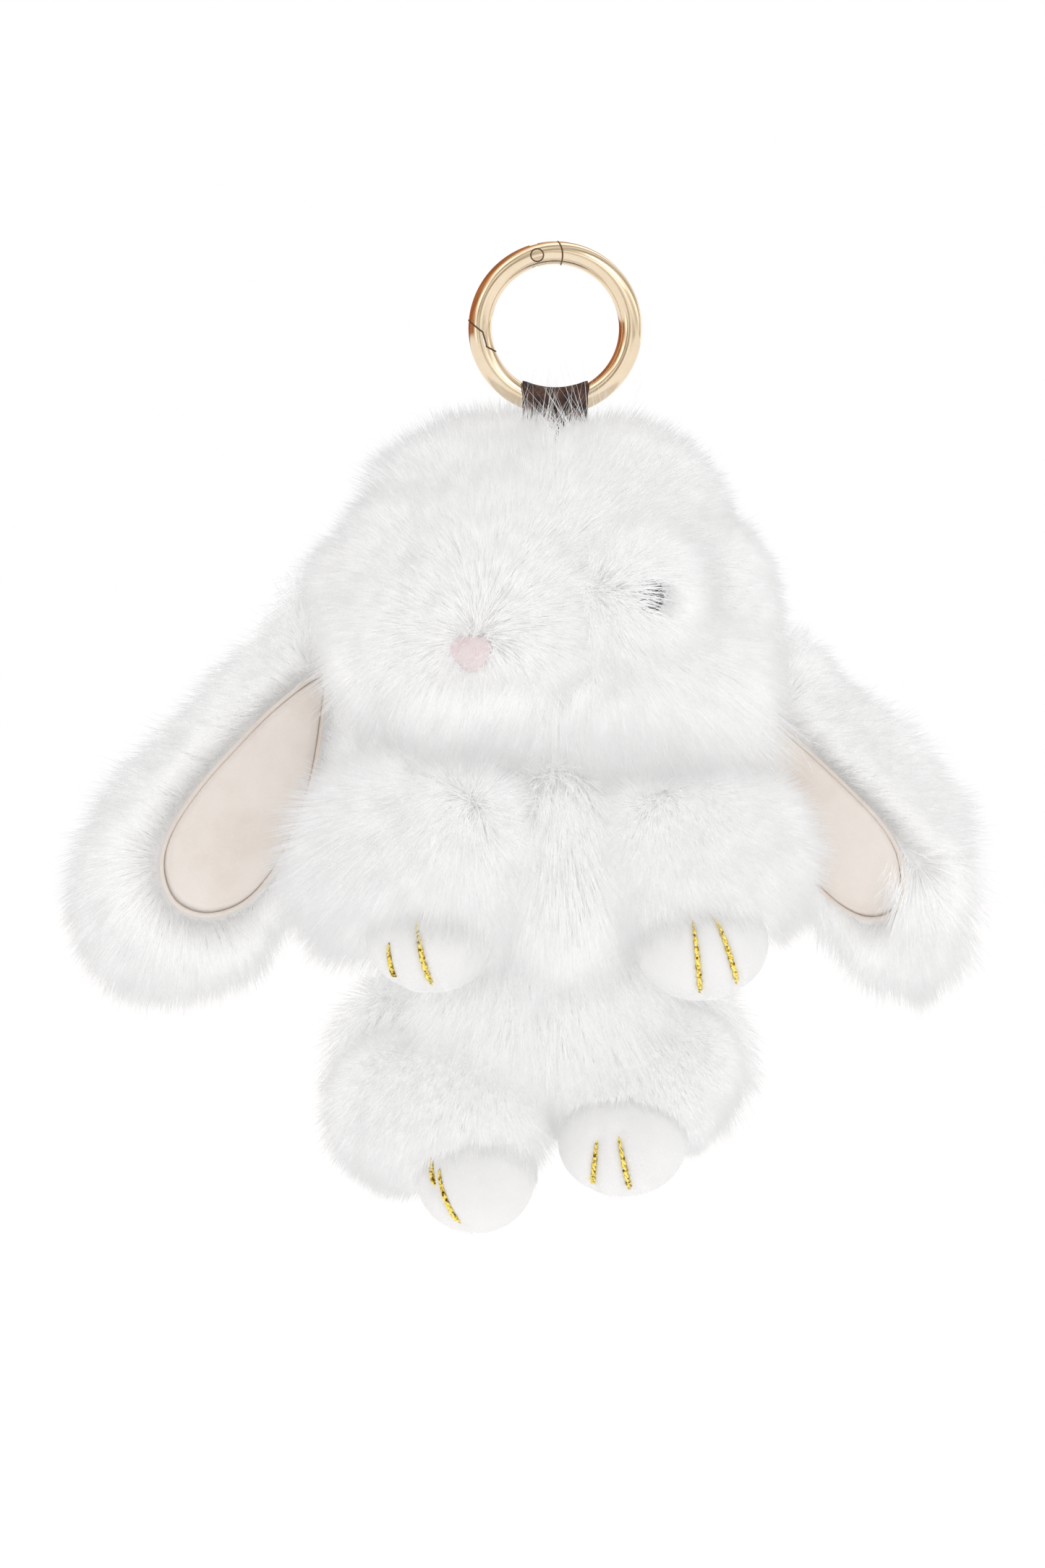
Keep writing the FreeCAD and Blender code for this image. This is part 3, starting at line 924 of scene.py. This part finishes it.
def make_limb(name):
    sleeve = SLEEVE[name]
    outward = -1 if name.endswith("left") else 1
    h = sleeve.half * 0.84
    if name == "leg_right":
        lumps = [(sleeve.at(-0.14, 0, 0.08), h * 0.92), (sleeve.at(0.06, 0.15, 0.38), h * 0.85)]
    else:
        lumps = [(sleeve.middle, h), (sleeve.at(0.25 * outward, 0.15, 0.05), h * 0.88)]
    skin = lump_mesh(lumps, voxel=1.2 * MM)
    piece = add_object(name + "_skin", skin, "skin", name)
    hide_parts(name + "_sleeve")
    flow, length, lift, keep = limb_fur_rules(name, outward)
    grow_fur(name + "_fur", name, skin, 24000, flow, length, lift, keep, [paw_lump(name, 0.8)],
             seed=41 + LIMBS.index(name))
    make_paw(name)


# where each toe stitch starts and ends, X and Z in millimetres, and how late it bends aside
TOE_STITCHES = {
    "arm_left": (((-32.8, -119.5), (-31.4, -127.5), 2.0), ((-26.8, -112.5), (-23.6, -129.3), 2.2)),
    "arm_right": (((25.8, -114.0), (27.8, -130.8), 0.8), ((29.2, -112.5), (35.6, -129.0), 0.7)),
    "leg_left": (((-24.9, -160.5), (-24.2, -167.0), 1.5), ((-23.2, -162.5), (-18.6, -175.5), 2.0)),
    "leg_right": (((7.6, -157.5), (6.7, -168.0), 0.8), ((12.0, -156.5), (14.6, -169.0), 1.2)),
}


def paw_surface(name, x, z):
    """The point of the paw's front at X, Z, and the way out of the paw there."""
    place = PAW[name]
    across = (x - place.middle.x) / place.half.x
    rise = (z - place.middle.z) / place.half.z
    reach = math.hypot(across, rise)
    if reach > 0.985:
        across, rise = across * 0.985 / reach, rise * 0.985 / reach
    front = math.sqrt(1 - across ** 2 - rise ** 2)
    out = Vector((across / place.half.x, -front / place.half.y, rise / place.half.z)).normalized()
    return place.at(across, -front, rise), out


def stitch_curve(name, ends, steps=40):
    """Points of one stitch over the paw's front, a little bowed, with the way out at each."""
    (x1, z1), (x2, z2), bow = ends
    return [paw_surface(name, (x1 + (x2 - x1) * t ** bow) * MM, (z1 + (z2 - z1) * t) * MM)
            for t in (k / steps for k in range(steps + 1))]


def make_paw(name):
    """Smooth plush with a groove under each toe stitch, and a short nap."""
    place = PAW[name]
    curves = [stitch_curve(name, ends) for ends in TOE_STITCHES[name]]
    grooves = KDTree(sum(len(c) for c in curves))
    for number, (at, _) in enumerate(p for curve in curves for p in curve):
        grooves.insert(at, number)
    grooves.balance()
    bm = bmesh.new()
    add_ball(bm, place.middle, place.half, 6)
    for v in bm.verts:
        near = grooves.find(v.co)[2] / MM
        dent = 0.95 * math.exp(-(near / 1.5) ** 2) + 0.25 * math.exp(-(near / 4) ** 2)
        v.co -= (v.co - place.middle).normalized() * dent * MM
    mesh = mesh_from(bm, name + "_plush")
    piece = add_object(name + "_plush", mesh, "paw", name)
    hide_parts(name + "_paw")

    def flow(points, normals):
        spread = unit(points - np.array(place.at(0, 0, 1.5)))
        spread[:, 2] -= 0.4
        return spread

    def keep(points, normals):
        return np.array([grooves.find(p)[2] > 0.9 * MM for p in points])

    grow_fur(name + "_nap", name, mesh, 12000, flow, always(0.9 * MM), always(0.25), keep,
             seed=61 + LIMBS.index(name), width=0.08 * MM, pull=0.0, sag=0.0)
    for number, curve in enumerate(curves):
        make_stitch(name, number, curve)


def make_stitch(name, number, curve):
    """A long stitch of two twisted gold strands, in its groove."""
    bm = bmesh.new()
    last = len(curve) - 1
    for strand in range(2):
        tube(bm, twisted(curve, strand), [0.31 * MM * stitch_taper(k / last) for k in range(last + 1)])
    piece_name = f"{name}_toe_stitch_{number + 1}"
    piece = add_object(piece_name, mesh_from(bm, piece_name), "thread", name)
    if number == 0:
        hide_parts(name + "_toe_stitches")


def stitch_taper(t):
    """Thin where a stitch comes out of the plush at its top, full from its middle on."""
    return 0.38 + 0.62 * min(1.0, t / 0.55)


def twisted(curve, strand):
    """One of two strands wound about a line, sunk into the plush at both ends."""
    points = []
    last = len(curve) - 1
    for k, (at, out) in enumerate(curve):
        ahead = (curve[min(k + 1, last)][0] - curve[max(k - 1, 0)][0]).normalized()
        across = ahead.cross(out)
        turn = k * 0.75 + strand * math.pi
        end = min(k, last - k) / 5
        depth = -0.85 - 0.8 * max(0.0, 1 - end)
        wide = 0.24 * stitch_taper(k / last)
        points.append(at + (out * (depth + wide * math.sin(turn)) + across * wide * math.cos(turn)) * MM)
    return points


def tube(bm, points, radius, sides=8):
    """A round tube with closed ends through points. The radius is one number, or one per point."""
    rings = []
    radii = radius if isinstance(radius, list) else [radius] * len(points)
    up = Vector((0.3, 0.2, 1)).normalized()
    for k, at in enumerate(points):
        ahead = (points[min(k + 1, len(points) - 1)] - points[max(k - 1, 0)]).normalized()
        u = ahead.cross(up).normalized()
        v = ahead.cross(u)
        rings.append([bm.verts.new(at + (u * math.cos(a) + v * math.sin(a)) * radii[k])
                      for a in [2 * math.pi * j / sides for j in range(sides)]])
    close_tube(bm, rings)


# ---- strap ----

# millimetres
WIRE_CIRCLE = 14.75  # from the ring's middle to the middle of its wire
STRAP_THICK = 0.9
STRAP_BEND = 2.3 + STRAP_THICK / 2  # from the wire's middle to the leather's
STRAP_COLUMNS = 25
PLY_Y = 0.52  # the leather's middle line where the two plies lie together
PLY_FOOT = -40
PLY_TOP = 8.5  # how far under the wire's middle the plies part


def strap_path(x, steps=44):
    """The leather's middle line in Y, Z at one X: up the front, over the wire, down the back."""
    wire = -math.sqrt(WIRE_CIRCLE ** 2 - x ** 2)
    parting = wire - PLY_TOP
    leave = math.radians(128)
    turn_y, turn_z = -STRAP_BEND * math.sin(leave), wire + STRAP_BEND * math.cos(leave)
    front = [(-PLY_Y, PLY_FOOT + (parting - PLY_FOOT) * k / 12) for k in range(13)]
    for t in (k / 8 for k in range(1, 8)):
        ease = t * t * (3 - 2 * t)
        front.append((-PLY_Y + (turn_y + PLY_Y) * ease, parting + (turn_z - parting) * t))
    turns = [leave - 2 * leave * k / steps for k in range(steps + 1)]
    arc = [(-STRAP_BEND * math.sin(a), wire + STRAP_BEND * math.cos(a)) for a in turns]
    return front + arc + [(-y, z) for y, z in reversed(front)]


def strap_row(bm, share, side):
    """One face's line of vertices along the strap, share from -1 to 1 across it."""
    x = share * (STRAP.half.x / MM - 0.1)
    path = strap_path(x)
    edge = 1 - 0.45 * max(0.0, (abs(share) - 0.86) / 0.14) ** 2
    thick = side * edge * STRAP_THICK / 2
    row = []
    for k, (y, z) in enumerate(path):
        y1, z1 = path[max(k - 1, 0)]
        y2, z2 = path[min(k + 1, len(path) - 1)]
        length = math.hypot(y2 - y1, z2 - z1)
        row.append(bm.verts.new(Vector((STRAP.middle.x / MM + x, y - (z2 - z1) / length * thick,
                                        z + (y2 - y1) / length * thick)) * MM))
    return row


def make_strap():
    """One strip of leather folded over the ring, its ends in the head's crown."""
    bm = bmesh.new()
    shares = [-1 + 2 * c / (STRAP_COLUMNS - 1) for c in range(STRAP_COLUMNS)]
    outer, inner = [[strap_row(bm, share, side) for share in shares] for side in (1, -1)]
    for rows in (outer, inner):
        for low, high in zip(rows, rows[1:]):
            add_strip(bm, low, high)
    for c in (0, -1):
        add_strip(bm, outer[c], inner[c])
    for k in (0, -1):
        add_strip(bm, [row[k] for row in outer], [row[k] for row in inner])
    bmesh.ops.recalc_face_normals(bm, faces=bm.faces)
    strap = add_object("leather_strap", mesh_from(bm, "strap"), "leather", None)
    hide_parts("strap_loop", "strap_tail")
    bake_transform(strap)


# ---- the ring's joints, drawn as painted shadow lines ----

# millimetres; a reach is measured from the hinge
WIRE_RADIUS = 2.25
HINGE_AT = (14.6, math.radians(104))  # how far out from the ring's middle, and at what turn
SEAM_REACH = 4.95
LATCH_REACH = (18.4, 20.4)  # of the latch's outer and inner step
LATCH_STEP = 14.1  # how far out the latch's step is
RIVET_RADIUS = 1.25
RIVET_FRONT = -2.24


def wire_point(out, turn, round_wire):
    """A point of the wire's surface: out from the ring's middle, by its turn."""
    front = math.sqrt(max(0.0, WIRE_RADIUS ** 2 - (out - WIRE_CIRCLE) ** 2)) - 0.05
    return Vector((out * math.cos(turn), round_wire * front, out * math.sin(turn))) * MM


def turn_at(out, reach, side):
    """The turn at which a point this far out from the ring's middle is reach from the hinge."""
    far, angle = HINGE_AT
    return angle + side * math.acos((out ** 2 + far ** 2 - reach ** 2) / (2 * out * far))


def joint_line(reach_of, side):
    """A line round the wire where two pieces of the ring meet."""
    outs = [WIRE_CIRCLE + WIRE_RADIUS * math.cos(math.pi * k / 24) for k in range(25)]
    front = [(out, turn_at(out, reach_of(out), side)) for out in outs]
    line = [wire_point(out, turn, -1) for out, turn in front]
    return line + [wire_point(out, turn, 1) for out, turn in reversed(front)] + line[:1]


# A thin dark tube along the points: a painted shadow line.
def add_shadow_line(name, points, body):
    bm = bmesh.new()
    tube(bm, points, 0.15 * MM)
    add_object(name, mesh_from(bm, name), "seam", body)


def make_ring_shadow_lines():
    """Thin dark tubes along the gate's joints and round the rim of its rivet: painted shadow of the gaps
    there.
    """
    add_shadow_line("hinge_seam_shadow", joint_line(lambda out: SEAM_REACH, -1), "ring")
    add_shadow_line("latch_seam_shadow", joint_line(lambda out: LATCH_REACH[out <= LATCH_STEP], 1), "gate")
    far, angle = HINGE_AT
    middle = Vector((far * math.cos(angle), RIVET_FRONT, far * math.sin(angle)))
    rim = [(middle + Vector((math.cos(a), 0, math.sin(a))) * RIVET_RADIUS) * MM
           for a in [math.pi * k / 16 for k in range(33)]]
    add_shadow_line("rivet_rim_shadow", rim, "gate")


# ---- face pieces ----


def make_eye(side):
    """A glossy bead."""
    bm = bmesh.new()
    bmesh.ops.create_icosphere(bm, subdivisions=5, radius=BEAD_RADIUS,
                               matrix=Matrix.Translation(eye_centre(side)))
    bead = mesh_from(bm, "eye")
    piece = add_object(f"eye_{side}_bead", bead, "eye", "head")
    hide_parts("eye_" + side)


def nose_reach(turn):
    """How far the nose's edge is from its middle: three soft corners, one of them down."""
    return 1.0 + 0.11 * math.cos(3 * (turn + math.pi / 2))


def make_nose():
    """A small padded triangle, point down."""
    size = 3.5 * MM
    across = FACE.cross(UP).normalized()
    up = across.cross(FACE).normalized()
    outline = []
    for turn in (2 * math.pi * k / 60 for k in range(60)):
        reach = size * nose_reach(turn)
        outline.append((math.cos(turn) * reach * 1.1, math.sin(turn) * reach))
    bm = bmesh.new()
    rings = [[bm.verts.new(NOSE_SEAT + across * x + up * z - FACE * 2.0 * MM) for x, z in outline]]
    for turn in (r / 7 * math.pi / 2 for r in range(8)):
        share = math.cos(turn * 0.995)
        rise = math.sin(turn) * 1.9 * MM
        rings.append([bm.verts.new(NOSE_SEAT + across * x * share + up * z * share + FACE * rise)
                      for x, z in outline])
    close_tube(bm, rings)
    piece = add_object("nose_pad", mesh_from(bm, "nose"), "nose", "head")
    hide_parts("nose_patch")


# ---- CAD nodes that stay ----


def finish_cad_nodes():
    finishes = {
        "gold": ["ring_body", "ring_gate", "gate_rivet"],
        "steel": ["gate_spring"],
        "cord": ["strap_stitches", "neck_cord"],
        "washer": ["eye_washer_left", "eye_washer_right"],
        "wadding": [name + "_stuffing" for name in ("head", "torso", *LIMBS)],
    }
    for material, names in finishes.items():
        for name in names:
            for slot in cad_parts[name].material_slots:
                slot.material = MATERIAL[material]


# ---- stage ----


def make_world():
    """White for the camera, a bright studio for the rest, and an amber wall in what metal mirrors."""
    world = bpy.data.worlds.new("studio")
    bpy.context.scene.world = world
    world.use_nodes = True
    tree = world.node_tree
    tree.nodes.clear()
    studio = direction_ramp(tree, (1, 0, 0), [
        (0.0, (0.75, 0.73, 0.735)), (0.35, (0.80, 0.79, 0.79)), (0.8, (0.83, 0.825, 0.825))])
    bands = direction_ramp(tree, (0.15, 0.35, 0.92), [
        (0.0, grey(0.85)), (0.30, grey(1.15)), (0.40, (0.60, 0.58, 0.54)),
        (0.48, grey(1.25)), (0.58, (0.70, 0.67, 0.62)), (0.70, grey(1.15)),
        (0.82, (0.75, 0.72, 0.68)), (1.0, grey(1.05))])
    sides = direction_ramp(tree, (-0.77, 0.64, 0), [
        (0.0, (0.80, 0.78, 0.76)), (0.12, grey(1.5)), (0.24, (0.42, 0.37, 0.31)),
        (0.33, (1.15, 1.13, 1.10)), (0.42, (0.32, 0.28, 0.23)), (0.52, grey(1.9)),
        (0.64, (1.0, 0.88, 0.72)), (0.74, (0.55, 0.24, 0.11)), (1.0, (0.40, 0.14, 0.055))])
    mirrored = mix_colours(tree, sides, bands, blend_type="MULTIPLY")
    path = node(tree, "LightPath")
    lit = mix_colours(tree, studio, mirrored, Factor=path.outputs["Is Glossy Ray"])
    seen = mix_colours(tree, lit, (1, 1, 1, 1), Factor=path.outputs["Is Camera Ray"])
    back = node(tree, "Background", Color=seen, Strength=1.0)
    node(tree, "OutputWorld", Surface=back.outputs["Background"])


def direction_ramp(tree, direction, stops):
    """Colours by how far the sky's direction lies towards the given one, 0 to 1."""
    place = node(tree, "TexCoord")
    along = node(tree, "VectorMath", operation="DOT_PRODUCT", Vector=place.outputs["Generated"])
    along.inputs[1].default_value = direction
    share = node(tree, "MapRange", Value=along.outputs["Value"], From_Min=-1.0)
    return ramp(tree, share.outputs["Result"], stops)


def add_key_light(target):
    """A soft light from the front, the right and above."""
    data = bpy.data.lights.new("key", "AREA")
    data.shape = "DISK"
    data.size = 0.55
    data.energy = 0.8
    made = link_new("key", data)
    made.location = target + Vector((0.55, -0.75, 0.75))
    made.rotation_euler = (target - made.location).to_track_quat("-Z", "Y").to_euler()


def make_stage():
    low, high = cad_box
    make_world()
    add_key_light((low + high) / 2)
    bm = bmesh.new()
    bmesh.ops.create_circle(bm, cap_ends=True, radius=6.0, segments=96,
                            matrix=Matrix.Translation((0, 0, low.z - 30 * MM)))
    floor = add_object("floor", mesh_from(bm, "floor"), "floor", None)


def make_camera():
    """Level and straight on, with a long lens."""
    frame_height = 307.2 * MM  # what the picture's height spans at the ring's plane
    away = 1.5
    long_side = 36.0
    data = bpy.data.cameras.new("camera")
    data.sensor_width = long_side
    data.lens = long_side * away / frame_height
    made = link_new("camera", data)
    made.location = (-6.4 * MM, -away, -89.3 * MM)
    made.rotation_euler = (math.radians(90), 0, 0)
    bpy.context.scene.camera = made


# ---- the whole ----

make_camera()
make_stage()
finish_cad_nodes()
make_head()
for ear_name in EARS:
    make_ear(ear_name)
make_torso()
for limb_name in LIMBS:
    make_limb(limb_name)
for eye_side in SIDES:
    make_eye(eye_side)
make_nose()
make_strap()
make_ring_shadow_lines()
bpy.context.scene.view_settings.view_transform = "Standard"
